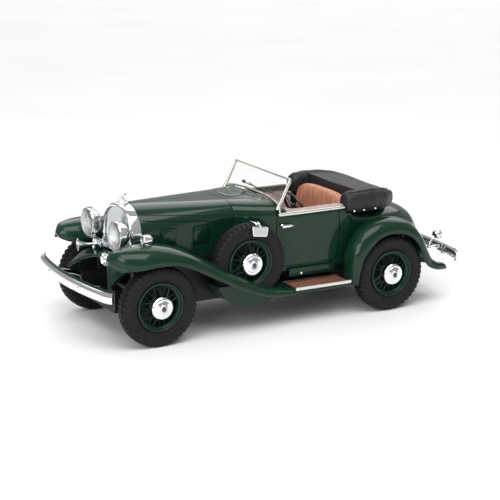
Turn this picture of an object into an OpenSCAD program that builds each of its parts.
// Collector scale model of an open two-seat touring car of the 1930s, 1:43.
// Frame: +X forward, +Y to the car's left, +Z up. The origin is on the ground, under the middle of
// the model's bounding box. Inside the modules x is measured from the front axle, and place() moves
// the finished piece into the frame.

/* [Wheels] */
// Distance between the axles
wheelbase = 68.5; // [67.5:0.25:69.5]
// Outer radius of the tyres
tyre_r = 10.15; // [9.9:0.05:10.3]
// Width of a tyre over its shoulders
tyre_w = 4.2; // [3.6:0.1:4.4]
// Distance from the centre line to the middle of a road tyre
half_track = 17.6; // [17.2:0.1:17.9]
// Outer radius of the steel wheel under the tyre
rim_r = 6.3; // [6:0.1:6.8]
// Radius of the hubcap
hubcap_r = 2.9; // [2.4:0.1:3.2]
// Radius of the steel axles
axle_r = 0.8; // [0.6:0.1:1.0]
// Radial running clearance of an axle in the chassis
axle_clearance = 0.05; // [0.02:0.01:0.09]
// Number of spokes in each row of a wheel
spoke_count = 20; // [12:2:24]

/* [Spare wheels] */
// Spare wheel centre behind the front axle
spare_back = 26.4; // [25.8:0.1:27]
// Distance from the centre line to the middle of a spare tyre
spare_y = 15.6; // [15.5:0.1:15.8]
// Height of the spare wheel centre
spare_z = 17.4; // [17:0.1:17.8]

/* [Body] */
// Wall thickness of the castings
wall = 1.2; // [0.9:0.1:1.5]
// Thickness of the wings
wing_t = 0.8; // [0.6:0.1:0.9]
// Half width of the cockpit opening
cockpit_half_w = 12.4; // [11.8:0.1:12.8]
// Rake of the windscreen from the vertical, in degrees
screen_rake = 25.7; // [20:0.5:30]
// Height of the windscreen along its pane, at the sides
screen_h = 8.2; // [6:0.1:9]

/* [Fittings] */
// Radius of a headlamp's rim
headlamp_r = 3.65; // [3.2:0.05:3.8]
// Height of the headlamp centres
headlamp_z = 26.2; // [25.8:0.1:26.6]
// Distance from the centre line to a headlamp's centre
headlamp_y = 7.8; // [7.4:0.1:8.2]
// Height of the front bumper blade
bumper_h = 2.8; // [2.4:0.1:3.2]
// Half width of the front bumper
bumper_half_w = 19.9; // [19.5:0.1:20.5]
// Radius of the two threaded holes for the plinth screws
plinth_hole_r = 0.8; // [0.6:0.05:1]
// Distance between the two plinth holes
plinth_hole_spacing = 40; // [36:1:44]

/* [Hidden] */
$fn = 48;

paint = [0.05, 0.21, 0.14];
chrome = [0.82, 0.83, 0.85];
black = [0.07, 0.07, 0.08];
leather = [0.66, 0.32, 0.20];

nose_x = 17.3;                  // front of the bumper's bow, ahead of the front axle
tail_x = -wheelbase - 25;       // back of the rear bumper
front_axle_x = -(nose_x + tail_x) / 2;
axle_z = tyre_r;
bore_r = axle_r + axle_clearance;
chassis_half_w = 10.2;          // outside of the chassis walls
chassis_bottom = 7.2;
deck_z = 19;                    // top of the engine bay, where the bonnet stands
deck_front = 3;
chassis_back = -11.5 - wheelbase;
body_bottom = 13.2;
bonnet_front = -0.4;
bonnet_back = -25.3;
iron_y = 8.2;                   // inner side of the bumper irons
clear = 0.1;                    // gap between pieces of the same body that only stand side by side

// ---- Helpers ----

module place() translate([front_axle_x, 0, 0]) children();

module both_sides() {
    children();
    mirror([0, 1, 0]) children();
}

// A cylinder along the car's length from x0 to x1, and one across it from y0 to y1
module rod_x(r, x0, x1) translate([x0, 0, 0]) rotate([0, 90, 0]) cylinder(r = r, h = x1 - x0);
module rod_y(r, y0, y1) translate([0, y0, 0]) rotate([-90, 0, 0]) cylinder(r = r, h = y1 - y0);

// Points between rows p1 and p2 of a smooth curve (Catmull-Rom)
function between(p0, p1, p2, p3, t) =
    0.5 * (2 * p1 + (p2 - p0) * t + (2 * p0 - 5 * p1 + 4 * p2 - p3) * t * t
    + (3 * p1 - p0 - 3 * p2 + p3) * t * t * t);
function smooth(rows, steps) = let (last = len(rows) - 1) concat(
    [for (i = [0 : last - 1], k = [0 : steps - 1])
        between(rows[max(i - 1, 0)], rows[i], rows[i + 1], rows[min(i + 2, last)], k / steps)],
    [rows[last]]);

function reversed(list) = [for (i = [len(list) - 1 : -1 : 0]) list[i]];

// Triangles that close a ring of n points, as a ladder between its first and second half
function cap(n) = [for (j = [0 : n / 2 - 1]) each concat(
    j + 1 < n - 1 - j ? [[j, j + 1, n - 1 - j]] : [],
    j + 1 < n - 2 - j ? [[j + 1, n - 2 - j, n - 1 - j]] : [])];

// Closed solid through rings of equally many points
module skin(rings) {
    n = len(rings[0]);
    m = len(rings);
    polyhedron(
        points = [for (ring = rings) each ring],
        faces = concat(
            cap(n),
            [for (i = [0 : m - 2], j = [0 : n - 1]) each let (
                a = i * n + j, b = i * n + (j + 1) % n, c = a + n, d = b + n)
                [[a, c, b], [b, c, d]]],
            [for (f = cap(n)) [for (j = reversed(f)) (m - 1) * n + j]]));
}

// One quadrant-blended arch: y across, z up, square shoulders as the power grows
function power(v, n) = sign(v) * pow(abs(v), 2 / n);
function arch(half_w, spring_z, top_z, n, step) = [for (a = [0 : step : 180])
    [half_w * power(cos(a), n), spring_z + (top_z - spring_z) * power(sin(a), n)]];

// Body section at a station [x, half width, spring height, top, squareness], as a thin arch
function body_ring(s, bottom, thick, tuck) = let (
    outer = concat([[s[1] - tuck, bottom]], arch(s[1], s[2], s[3], s[4], 10), [[tuck - s[1], bottom]]),
    inner = concat([[s[1] - tuck - thick, bottom]],
        arch(s[1] - thick, s[2], s[3] - thick, s[4], 10), [[tuck + thick - s[1], bottom]]))
    [for (p = concat(outer, reversed(inner))) [s[0], p[0], p[1]]];

// ---- Body ----

bonnet_stations = [
    [bonnet_front, 8.2, 25, 32.0, 2.2],
    [-6, 8.6, 25.3, 32.0, 2.5],
    [-12, 9.0, 25.6, 31.9, 3.0],
    [-18.5, 9.5, 25.8, 31.8, 3.6],
    [bonnet_back, 10.0, 26, 31.7, 4.2]
];

// Stations of the shell: scuttle, cockpit, then the tail behind the rear axle
body_stations = [
    [bonnet_back - 0.15, 10.0, 26, 31.7, 4.2],
    [-29, 11.4, 26, 31.6, 4.1],
    [-33, 12.9, 26, 31.5, 4.2],
    [-36.5, 13.85, 26, 31.3, 4.4],
    [-39, 14.3, 26, 30.1, 4.8],
    [-42, 14.4, 26, 29.2, 5.5],
    [-50, 14.4, 26, 29.3, 5.5],
    [-56, 14.2, 24, 28.4, 4.6],
    [-59, 14.0, 21, 26.6, 3.4],
    [8.5 - wheelbase, 13.9, 20, 26.4, 3.2],
    [2.5 - wheelbase, 13.4, 20, 26.4, 3.0],
    [-3 - wheelbase, 12.4, 20, 26.2, 2.8],
    [-8 - wheelbase, 11.0, 19, 25.7, 2.6],
    [-12 - wheelbase, 9.4, 18, 24.7, 2.5],
    [-15.5 - wheelbase, 7.6, 17, 22.9, 2.4],
    [-18 - wheelbase, 5.6, 16, 20.2, 2.3],
    [-19.8 - wheelbase, 3.5, 15, 17.4, 2.2],
    [-20.6 - wheelbase, 1.9, 14.2, 15.6, 2.2]
];

module bonnet() color(paint) place()
    skin(reversed([for (s = smooth(bonnet_stations, 3)) body_ring(s, deck_z + clear, wall, 0)]));

// Two hinged vent doors low on each side of the bonnet
module bonnet_vents() color(paint) place() both_sides()
    for (x = [-7.4, -16.4])
        translate([x, lookup(x, [[-16.4, 9.32], [-7.4, 8.68]]) + 0.12, 24.4])
            rotate([-90, 0, -3.6]) linear_extrude(0.45)
                offset(0.5) square([3.2, 3.4], center = true);

// Plan of the cockpit opening, from the scuttle to the seat back
module cockpit_plan() offset(1.5) offset(-1.5)
    translate([-61.4, -cockpit_half_w]) square([23.6, 2 * cockpit_half_w]);

module body_shell() color(paint) place() difference() {
    skin(reversed([for (s = smooth(body_stations, 2)) body_ring(s, body_bottom, wall, 0.5)]));
    translate([0, 0, body_bottom - 1]) linear_extrude(30) cockpit_plan();
    // Seat of the folded hood
    translate([0, 20, 0]) rotate([90, 0, 0]) linear_extrude(40)
        polygon([[-56.7, 26.6], [-58.5, 26.25], [-61.7, 26.1], [-61.7, 36], [-56.7, 36]]);
}

// Raised ventilator lid on top of the scuttle
module cowl_vent() color(paint) place()
    skin([for (x = [-27.4, -28.6, -30.8, -32]) let (top = lookup(x, [[-32, 31.53], [-25, 31.7]]))
        concat([for (y = [-3.4 : 0.85 : 3.4]) [x, y, top + 0.55 - 0.008 * y * y]],
            [for (y = [3.4 : -0.85 : -3.4]) [x, y, top + 0.08 - 0.004 * y * y]])]);

// ---- Wings ----

// Ring of a wing at a station [crown x, crown z, edge x, edge z, inner y, outer y]
function wing_ring(s) = let (
    mid = (s[4] + s[5]) / 2,
    half = (s[5] - s[4]) / 2,
    depth = norm([s[0] - s[2], s[1] - s[3]]),
    outer = arch(half, 0, 1, 2.4, 15),
    inner = arch(half - wing_t, 0, (depth - wing_t) / depth, 2.4, 15))
    [for (p = concat(outer, reversed(inner)))
        [s[2] + (s[0] - s[2]) * p[1], mid + p[0], s[3] + (s[1] - s[3]) * p[1]]];

front_wing_stations = [
    [12.3, 22.3, 12.0, 21.4, 13.6, 15.9],
    [11.7, 23.5, 11.1, 20.9, 12.8, 17.3],
    [10.2, 24.6, 9.3, 20.4, 11.7, 19.5],
    [6.0, 25.3, 5.6, 20.7, 10.7, 21.1],
    [1.2, 25.3, 1.2, 21.1, 10.45, 21.3],
    [-3.6, 24.5, -3.8, 20.8, 10.4, 21.3],
    [-8.0, 22.9, -8.2, 19.3, 10.4, 21.3],
    [-12.2, 20.8, -12.4, 17.2, 10.4, 21.3],
    [-16.5, 18.5, -16.5, 15.1, 10.4, 21.3],
    [-21.2, 15.9, -21.1, 12.7, 10.4, 21.2],
    [-26.5, 13.2, -26.5, 10.5, 10.4, 20.9],
    [-32.0, 11.1, -32.0, 9.1, 10.4, 20.3],
    [-38.2, 9.9, -38.2, 8.5, 10.4, 19.5]
];

rear_wing_stations = [for (s = [
    [12.8, 8.6, 11.3, 8.6, 14.9, 20.3],
    [13.1, 12.8, 11.1, 12.4, 14.5, 20.8],
    [12.7, 17.2, 10.2, 15.8, 14.15, 21.1],
    [10.8, 21.0, 8.3, 18.4, 14.1, 21.3],
    [7.0, 24.0, 5.3, 20.8, 14.05, 21.3],
    [2.0, 25.1, 1.6, 21.7, 13.8, 21.3],
    [-2.9, 24.6, -2.1, 21.4, 13.3, 21.3],
    [-7.1, 22.4, -5.5, 19.8, 12.6, 21.2],
    [-10.1, 19.0, -8.1, 17.2, 11.9, 21.0],
    [-12.1, 15.4, -9.8, 14.0, 11.3, 20.9],
    [-13.9, 12.7, -11.6, 11.3, 11.0, 20.6],
    [-16.4, 11.0, -14.8, 9.8, 11.8, 20.1],
    [-18.9, 10.2, -18.5, 9.2, 13.6, 18.9]
]) [s[0] - wheelbase, s[1], s[2] - wheelbase, s[3], s[4], s[5]]];

module at_spare() translate([-spare_back, spare_y, spare_z]) children();

// Well that the spare wheel stands in, pressed down through the wing
module spare_well(r, half_w) intersection() {
    at_spare() rod_y(r, -half_w, half_w);
    translate([0, 25, 0]) rotate([90, 0, 0]) linear_extrude(20) polygon([[-14, 5], [-14, 12.8], [-25.5, 12.8],
        [-28.5, 11.6], [-32, 10.3], [-38.5, 9.2], [-38.5, 5]]);
}

module front_fender() place() difference() {
    union() {
        skin(reversed([for (s = smooth(front_wing_stations, 2)) wing_ring(s)]));
        spare_well(tyre_r + 0.9, tyre_w / 2 + 0.95);
    }
    at_spare() rod_y(tyre_r + 0.15, -tyre_w / 2 - 0.2, tyre_w / 2 + 0.2);
}

module rear_fender() place() skin(reversed([for (s = smooth(rear_wing_stations, 2)) wing_ring(s)]));

module front_fender_left() color(paint) front_fender();
module front_fender_right() color(paint) mirror([0, 1, 0]) front_fender();
module rear_fender_left() color(paint) rear_fender();
module rear_fender_right() color(paint) mirror([0, 1, 0]) rear_fender();

// ---- Running boards ----

board_front = -38.4;
board_back = 13.05 - wheelbase;
board_top = 9.6;
board_outer = 19.3;

module running_board() place() translate([board_back, chassis_half_w + clear, board_top - 1.3])
    cube([board_front - board_back, board_outer - chassis_half_w - clear, 1.3]);

module running_board_left() color(paint) running_board();
module running_board_right() color(paint) mirror([0, 1, 0]) running_board();

module board_mats() color([0.42, 0.22, 0.16]) place() both_sides() difference() {
    translate([board_back + 0.4, 12.4, board_top])
        cube([board_front - board_back - 0.9, board_outer - 13.1, 0.35]);
    for (i = [0 : 5])
        translate([board_back - 1, 13.1 + i, board_top + 0.2]) cube([30, 0.3, 1]);
}

module board_trims() color(chrome) place() both_sides()
    translate([board_back - 0.1, board_outer + 0.02, board_top - 0.3]) cube([board_front - board_back, 0.45, 0.95]);

// ---- Chassis and aprons ----

module wall_y(x0, x1, z1) both_sides()
    translate([x0, chassis_half_w - 1.3, chassis_bottom]) cube([x1 - x0, 1.3, z1 - chassis_bottom]);

module chassis() color(black) place() difference() {
    union() {
        translate([chassis_back, -chassis_half_w, chassis_bottom])
            cube([7.9 - chassis_back, 2 * chassis_half_w, 1.2]);
        wall_y(chassis_back, bonnet_back, body_bottom - clear);
        wall_y(bonnet_back, deck_front, deck_z);
        wall_y(deck_front, 7.9, 13);
        translate([bonnet_back, -chassis_half_w, deck_z - 1])
            cube([deck_front - bonnet_back, 2 * chassis_half_w, 1]);
        for (s = [-1, 1])
            translate([-wheelbase / 2 + s * plinth_hole_spacing / 2, 0, chassis_bottom]) cylinder(r = 2.2, h = 4);
    }
    for (x = [0, -wheelbase])
        translate([x, 0, axle_z]) rod_y(bore_r, -20, 20);
    for (s = [-1, 1])
        translate([-wheelbase / 2 + s * plinth_hole_spacing / 2, 0, chassis_bottom - 1])
            cylinder(r = plinth_hole_r, h = 4);
}

// Notches in the rear valance where the bumper irons pass
module iron_slots() both_sides() translate([-22, iron_y - 0.15, 8]) cube([5, 1.2, 5.5]);

// Arched valance ahead of the radiator: its front edge falls and comes forward towards the wings
function apron_point(y, t) = let (k = abs(y) / 12)
    [deck_front + 0.1 + (2.6 + 4.4 * pow(k, 1.2)) * t, y, 19.35 - 0.9 * k * k - 3.9 * k * k * t * t];
module front_apron() color(paint) place()
    skin([for (y = [-12 : 1.2 : 12]) concat(
        [for (t = [0 : 0.125 : 1]) apron_point(y, t)],
        [for (t = [1 : -0.125 : 0]) apron_point(y, t) - [0, 0, 0.8]])]);

// Valance between the rear wings, behind and below the tail
module rear_apron() color(paint) place() translate([-wheelbase, 0, 0]) difference() {
    skin([for (y = [10.6 : -1.06 : -10.6]) let (dip = 0.018 * y * y) concat(
        [for (a = [0 : 15 : 90]) [-15.8 - 5.6 * sin(a) + dip, y, 8.4 + 4.6 * cos(a)]],
        [for (a = [90 : -15 : 0]) [-15.8 - 4.8 * sin(a) + dip, y, 8.4 + 3.8 * cos(a)]])]);
    iron_slots();
}

// ---- Radiator ----

radiator_front = 2.6;

module radiator_outline(inset) polygon(concat(
    [[8.2 - inset, 19.2 + inset]],
    arch(8.2 - inset, 25, 32.1 - inset, 2.2, 10),
    [[inset - 8.2, 19.2 + inset]]));

// Extrudes a (y, z) outline along X from x0 to x1
module along_x(x0, x1) translate([x0, 0, 0]) rotate([90, 0, 90]) linear_extrude(x1 - x0) children();

module radiator_shell() color(chrome) place() difference() {
    along_x(bonnet_front + clear, radiator_front) radiator_outline(0);
    along_x(1, radiator_front + 1) radiator_outline(1.1);
}

module radiator_grille() color([0.55, 0.56, 0.58]) place() {
    along_x(1.05, 1.5) radiator_outline(1.2);
    along_x(1.5, 1.9) intersection() {
        radiator_outline(1.3);
        for (i = [-10 : 10])
            translate([i * 0.66 - 0.14, 19]) square([0.28, 14]);
    }
}

module radiator_cap() color(chrome) place() translate([0.9, 0, 32.15]) {
    rotate_extrude() polygon([[0, 0], [1.5, 0], [1.5, 0.35], [1.15, 0.5], [1.15, 0.95], [0.7, 1.15], [0, 1.2]]);
    translate([0.1, 0, 1.1]) rotate([0, -18, 0]) rotate_extrude()
        polygon([[0, 0], [0.32, 0.15], [0.42, 0.5], [0.3, 0.95], [0, 1.5]]);
}

// ---- Lamps and horns ----

module headlamp() place() translate([0, headlamp_y, headlamp_z]) rotate([0, 90, 0]) difference() {
    rotate_extrude() polygon([[0, 2.9], [0.9, 3.05], [2.0, 3.6], [2.9, 4.45], [3.35, 5.4],
        [headlamp_r - 0.12, 6.3], [headlamp_r, 6.45], [headlamp_r, 6.95], [headlamp_r - 0.35, 7.15], [0, 7.15]]);
    translate([0, 0, 6.35]) cylinder(r = headlamp_r - 0.45, h = 2);
}
module headlamp_left() color(chrome) headlamp();
module headlamp_right() color(chrome) mirror([0, 1, 0]) headlamp();

module headlamp_lenses() color([0.85, 0.88, 0.9, 0.5]) place() both_sides()
    translate([6.4, headlamp_y, headlamp_z]) rotate([0, 90, 0])
        rotate_extrude() polygon([[0, 0], [headlamp_r - 0.5, 0], [headlamp_r - 0.5, 0.55], [2.2, 0.95], [0, 1.15]]);

bar_x = 4.9;
bar_z = 22.0;

module lamp_bar() color(chrome) place() {
    translate([bar_x, 0, bar_z]) rod_y(0.4, -9, 9);
    both_sides() translate([bar_x, headlamp_y, bar_z - 3.1]) cylinder(r = 0.45, h = 3.85);
}

module horns() color(chrome) place() both_sides()
    translate([3.2, 6.3, 20.6]) rotate([0, 90, 14]) rotate_extrude()
        polygon([[0, 0], [1.1, 0], [1.1, 0.9], [0.4, 1.15], [0.42, 3.6], [0.62, 5.0], [1.0, 5.8], [1.5, 6.35],
            [1.5, 6.5], [1.25, 6.5], [0.8, 5.9], [0.3, 4.8], [0, 4.7]]);

module fender_lamps() color(chrome) place() both_sides() translate([2.4, 16.2, 26.6]) {
    rotate([0, 90, 0]) rotate_extrude()
        polygon([[0, -1.9], [0.5, -1.6], [0.95, -0.9], [1.15, 0], [1.2, 0.9], [1.05, 1.2], [0.6, 1.4], [0, 1.5]]);
    translate([-0.2, 0, -1.2]) cylinder(r1 = 0.75, r2 = 0.45, h = 0.8);
}

// Red-lensed lamp on a bent stem above each end of the rear bumper
module tail_lamps() color([0.75, 0.08, 0.06]) place() both_sides()
    translate([-18.7 - wheelbase, 14, 17.6]) {
        rotate([0, -90, 0]) rotate_extrude()
            polygon([[0, -1.3], [0.9, -1.1], [1.35, -0.4], [1.45, 0.4], [1.3, 0.6], [0.8, 0.95], [0, 1.1]]);
        hull() {
            translate([0.6, 0, -0.6]) sphere(0.42, $fn = 24);
            translate([3.0, 0, -3.6]) sphere(0.42, $fn = 24);
        }
    }

// ---- Bumpers ----

// Bumper blade along points [x, y], height h about z, thick t, its face bulging ahead
function blade_ring(p, dir, h, t) = [for (q = [[0, -h / 2], [t * 0.7, -h * 0.38], [t, 0], [t * 0.7, h * 0.38],
    [0, h / 2], [-t * 0.2, h * 0.3], [-t * 0.2, -h * 0.3]])
    [p[0] + q[0] * dir[0], p[1] + q[0] * dir[1], p[2] + q[1]]];

function bow(half_w, sag, y) = -sag * pow(y / half_w, 2);

module blade(half_w, sag, curl, z, h, t, face) {
    steps = 12;
    skin([for (i = [-steps : steps]) let (
        u = -face * i / steps,
        y = u * half_w,
        hook = max(0, abs(u) - 0.86) / 0.14,
        slope = 2 * sag * u / half_w + hook * sign(u) * 0.9,
        dir = [face, slope] / norm([1, slope]))
        blade_ring([face * (bow(half_w, sag, y) - curl * hook * hook), y, z], dir, h, t)]);
}

front_bumper_z = 14.3;
rear_bumper_z = 12.3;

module front_bumper() color(chrome) place() translate([nose_x - 0.7, 0, 0])
    blade(bumper_half_w, 2.4, 0.7, front_bumper_z, bumper_h, 0.7, 1);

module rear_bumper() color(chrome) place() translate([tail_x + 0.7, 0, 0])
    blade(19.2, 2.2, 1.4, rear_bumper_z, 3.2, 0.7, -1);

// Two flat irons from the chassis to the bumper
module irons(x0, x1, z, rise) both_sides() hull() {
    translate([x0, iron_y, z - 0.6 + rise]) cube([0.2, 0.9, 1.2]);
    translate([x1 - 0.2, iron_y, z - 0.6]) cube([0.2, 0.9, 1.2]);
}

module front_bumper_irons() color(chrome) place() {
    irons(8.1, 15.55, front_bumper_z, -1.8);
    both_sides() translate([15.5, iron_y + 0.45, front_bumper_z]) rod_x(0.95, 0, 0.4);
}

module rear_bumper_irons() color(chrome) place() {
    irons(-16 - wheelbase, tail_x + 1.7, rear_bumper_z, -2.4);
    both_sides() translate([tail_x + 1.4, iron_y + 0.45, rear_bumper_z]) rod_x(0.95, 0, 0.4);
}

// ---- Windscreen ----

screen_x = -36.4;
screen_z = 29.9;
screen_half_w = 13.9;

// Pane outline in its own plane: the foot follows the scuttle, the head is straight
module screen_outline(inset) offset(0.4) offset(-0.4 - inset) polygon(concat(
    [[screen_half_w, 0], [screen_half_w, screen_h], [-screen_half_w, screen_h], [-screen_half_w, 0]],
    [for (u = [-0.9 : 0.15 : 0.9]) [u * screen_half_w, 1.7 * pow(1 - pow(abs(u), 3), 0.7)]]));

module screen_plane(y0, y1) translate([screen_x, 0, screen_z]) rotate([90, 0, 90]) rotate([-screen_rake, 0, 0])
    translate([0, 0, y0]) linear_extrude(y1 - y0) children();

module windscreen_frame() color(chrome) place() screen_plane(-0.45, 0.45) difference() {
    screen_outline(0);
    screen_outline(0.75);
}

module windscreen_glass() color([0.8, 0.88, 0.9, 0.35]) place() screen_plane(-0.15, 0.15) screen_outline(0.8);

// Two wiper arms with their blades, in front of the pane
module wipers() color(black) place() screen_plane(0.55, 0.8)
    for (y = [-5.2, 4.6])
        translate([y, 3.2]) rotate(-6) {
            translate([-0.2, -0.15]) square([8, 0.3]);
            translate([0, 0]) circle(0.5);
            translate([2.6, 0.3]) square([5.4, 0.35]);
        }

// ---- Cockpit ----

module dashboard() color([0.25, 0.13, 0.08]) place()
    along_x(-38.9, -37.9) polygon(concat([[12.1, 20]], arch(12.1, 24, 28.9, 4, 10), [[-12.1, 20]]));

wheel_tilt = 118;

module steering_wheel() color(black) place() translate([-46, 6.4, 27.8]) rotate([0, wheel_tilt, 0]) {
    rotate_extrude() translate([4.3, 0]) circle(0.38, $fn = 24);
    rotate([0, 0, 90]) for (a = [0, 90]) rotate([0, 0, a]) translate([-4.3, -0.25, -0.2]) cube([8.6, 0.5, 0.4]);
    cylinder(r = 0.9, h = 0.6, center = true);
    cylinder(r = 0.45, h = 7.7);
}

module cockpit_floor() color(black) place() translate([0, 0, body_bottom + 0.1]) linear_extrude(1)
    both_sides() polygon([[-60.1, 0], [-60.1, 11.8], [-36, 11.8], [-33, 10.9], [-29, 9.3], [-26.1, 8.1], [-26.1, 0]]);

module seat_cushion() color(leather) place() hull() for (x = [-55.8, -47.5], y = [-10, 10], z = [15.4, 18.6])
    translate([x, y, z]) sphere(1, $fn = 20);

module seat_back() color(leather) place() hull() {
    for (y = [-10, 10]) {
        translate([-58, y, 16]) sphere(1, $fn = 20);
        translate([-60.2, y, 16]) sphere(1, $fn = 20);
    }
    for (y = [-9.5, 9.5])
        translate([-59, y, 28.6]) sphere(1.4, $fn = 20);
    translate([-58.8, 0, 28.9]) rod_y(1.4, -6, 6);
}

// ---- Hood, folded under its cover ----

// Route of the roll round the cockpit: [x, y, middle height, half height]
hood_path = [
    [-56.8, 13.1, 29.2, 2.5], [-58.5, 13.05, 29.2, 2.85], [-61.5, 13.05, 29.25, 3.0], [-65.5, 12.7, 29.2, 3.0],
    [-69.4, 11.6, 28.9, 2.8], [-72.4, 9.4, 28.45, 2.4], [-74.2, 6.2, 28.0, 1.9], [-75.0, 3.0, 27.8, 1.65],
    [-75.2, 0, 27.8, 1.6]
];
hood_line = smooth(concat(hood_path,
    [for (p = reversed(hood_path)) if (p[1] > 0) [p[0], -p[1], p[2], p[3]]]), 2);

// Section of the roll at one point of its route, square to the route
function hood_ring(i) = let (
    last = len(hood_line) - 1,
    p = hood_line[i],
    t = hood_line[min(i + 1, last)] - hood_line[max(i - 1, 0)],
    side = [-t[1], t[0]] / norm([t[0], t[1]]),
    end = min(i, last - i),
    k = end == 0 ? 0.55 : end == 1 ? 0.85 : 1)
    [for (a = [0 : 24 : 336]) [
        p[0] + side[0] * k * 2.2 * power(cos(a), 2.6),
        p[1] + side[1] * k * 2.2 * power(cos(a), 2.6),
        p[2] + k * p[3] * power(sin(a), 2.6)]];

module hood_cover() color(black) place() {
    skin([for (i = [0 : len(hood_line) - 1]) hood_ring(i)]);
    hull() {
        translate([-61.6, -11.4, 26.6]) cube([0.5, 22.8, 4.8]);
        translate([-70, -9.6, 26.6]) cube([0.5, 19.2, 4.0]);
        translate([-74.4, -4, 26.6]) cube([0.5, 8, 2.4]);
    }
}

module hood_studs() color(chrome) place() both_sides()
    for (p = [[-58.8, 15.1], [-61.8, 15.2], [-65.6, 14.9]])
        translate([p[0], p[1], 27.1]) rod_y(0.38, 0, 0.4);

// ---- Small fittings ----

module door_handles() color(chrome) place() both_sides() translate([-37.2, 14.45, 25.4]) {
    rod_y(0.4, 0, 0.75);
    translate([-2.9, 0.75, -0.25]) cube([3.4, 0.4, 0.5]);
}

module belt_trims() color(chrome) place() both_sides() hull() {
    translate([-36.2, 14.5, 27.5]) cube([0.2, 0.25, 0.8]);
    translate([-55.2, 14.5, 27.7]) cube([0.2, 0.25, 1.0]);
}

module sill_steps() color(paint) place() both_sides() {
    translate([-53.4, 14.45, 11.6]) cube([13.9, 0.35, 2.2]);
    translate([-43, 14.8, 12.3]) rod_y(0.5, 0, 0.6);
}

// ---- Wheels ----

// Half section of a tyre: [radius, half width] pairs, square shoulders under a flat tread
module tyre_solid() rotate([90, 0, 0]) rotate_extrude($fn = 96) polygon([
    [rim_r, -1.5], [rim_r + 0.7, -1.9], [tyre_r - 1.5, -tyre_w / 2], [tyre_r - 0.6, -tyre_w / 2 + 0.15],
    [tyre_r, -tyre_w / 2 + 0.7], [tyre_r, tyre_w / 2 - 0.7], [tyre_r - 0.6, tyre_w / 2 - 0.15],
    [tyre_r - 1.5, tyre_w / 2], [rim_r + 0.7, 1.9], [rim_r, 1.5]]);

// Rim, spokes and hub of a wire wheel, its face towards +Y
module wheel_solid() rotate([-90, 0, 0]) difference() {
    union() {
        rotate_extrude($fn = 96) polygon([[rim_r - 0.9, -1.7], [rim_r - 0.05, -1.7], [rim_r - 0.05, 1.7],
            [rim_r - 0.9, 1.7], [rim_r - 0.55, 1.2], [rim_r - 0.9, 0.6], [rim_r - 0.9, -0.6], [rim_r - 0.55, -1.2]]);
        for (z = [-0.9, 0.5])
            translate([0, 0, z]) linear_extrude(0.4) for (i = [0 : spoke_count - 1])
                rotate(i * 360 / spoke_count + (z > 0 ? 180 / spoke_count : 0))
                    translate([1, -0.16]) square([rim_r - 1.6, 0.32]);
        translate([0, 0, -1.7]) cylinder(r = 1.9, h = 3.5);
        translate([0, 0, -1.7]) cylinder(r = rim_r - 0.7, h = 0.4);    // drum behind the spokes
    }
    translate([0, 0, -3]) cylinder(r = axle_r, h = 4);
}

module hubcap_solid() rotate([-90, 0, 0]) translate([0, 0, 1.85]) rotate_extrude()
    polygon([[0, 0], [hubcap_r - 0.25, 0], [hubcap_r, 0.3], [hubcap_r, 0.8], [hubcap_r - 0.35, 1.2],
        [hubcap_r - 1.2, 1.35], [hubcap_r - 1.35, 1.6], [0, 1.7]]);

// Puts a wheel piece at an axle, on the left or, mirrored, on the right
module at_wheel(x, side) place() translate([x, side * half_track, axle_z]) scale([1, side, 1]) children();

module tyre_front_left() color(black) at_wheel(0, 1) tyre_solid();
module tyre_front_right() color(black) mirror([0, 1, 0]) at_wheel(0, 1) tyre_solid();
module tyre_rear_left() color(black) at_wheel(-wheelbase, 1) tyre_solid();
module tyre_rear_right() color(black) mirror([0, 1, 0]) at_wheel(-wheelbase, 1) tyre_solid();
module wheel_front_left() color(paint) at_wheel(0, 1) wheel_solid();
module wheel_front_right() color(paint) mirror([0, 1, 0]) at_wheel(0, 1) wheel_solid();
module wheel_rear_left() color(paint) at_wheel(-wheelbase, 1) wheel_solid();
module wheel_rear_right() color(paint) mirror([0, 1, 0]) at_wheel(-wheelbase, 1) wheel_solid();
module front_hubcaps() color(chrome) both_sides() at_wheel(0, 1) hubcap_solid();
module rear_hubcaps() color(chrome) both_sides() at_wheel(-wheelbase, 1) hubcap_solid();

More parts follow.
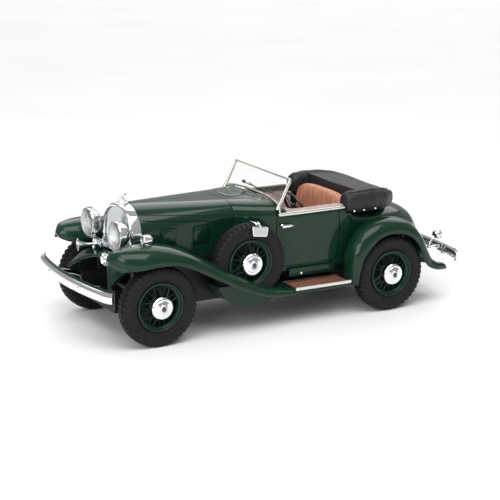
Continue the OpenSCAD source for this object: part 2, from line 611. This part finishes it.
module axle(x) color(chrome) place() translate([x, 0, axle_z]) rod_y(axle_r, -half_track - 0.9, half_track + 0.9);
module front_axle() axle(0);
module rear_axle() axle(-wheelbase);

module spare_tyre_left() color(black) place() at_spare() tyre_solid();
module spare_tyre_right() color(black) mirror([0, 1, 0]) place() at_spare() tyre_solid();
module spare_wheel_left() color(paint) place() at_spare() wheel_solid();
module spare_wheel_right() color(paint) mirror([0, 1, 0]) place() at_spare() wheel_solid();
module spare_hubcaps() color(chrome) both_sides() place() at_spare() hubcap_solid();

// Mirror on an arm strapped to the top of each spare tyre
module mirrors() color(chrome) place() both_sides() at_spare() translate([-1.5, 0, tyre_r]) {
    translate([-0.5, -tyre_w / 2, 0.06]) cube([1, tyre_w, 0.3]);
    hull() {
        translate([0, tyre_w / 2 - 0.3, 0.35]) sphere(0.3, $fn = 24);
        translate([-0.6, tyre_w / 2 + 0.65, -0.7]) sphere(0.3, $fn = 24);
    }
    translate([-2.6, tyre_w / 2 + 0.45, -3.1]) cube([4.6, 0.4, 2.6]);
}

chassis();
body_shell();
bonnet();
bonnet_vents();
cowl_vent();
front_fender_left();
front_fender_right();
rear_fender_left();
rear_fender_right();
running_board_left();
running_board_right();
board_mats();
board_trims();
front_apron();
rear_apron();
radiator_shell();
radiator_grille();
radiator_cap();
headlamp_left();
headlamp_right();
headlamp_lenses();
lamp_bar();
horns();
fender_lamps();
front_bumper();
front_bumper_irons();
rear_bumper();
rear_bumper_irons();
tail_lamps();
windscreen_frame();
windscreen_glass();
wipers();
dashboard();
steering_wheel();
cockpit_floor();
seat_cushion();
seat_back();
hood_cover();
hood_studs();
door_handles();
belt_trims();
sill_steps();
spare_tyre_left();
spare_tyre_right();
spare_wheel_left();
spare_wheel_right();
spare_hubcaps();
mirrors();
front_axle();
rear_axle();
tyre_front_left();
tyre_front_right();
tyre_rear_left();
tyre_rear_right();
wheel_front_left();
wheel_front_right();
wheel_rear_left();
wheel_rear_right();
front_hubcaps();
rear_hubcaps();
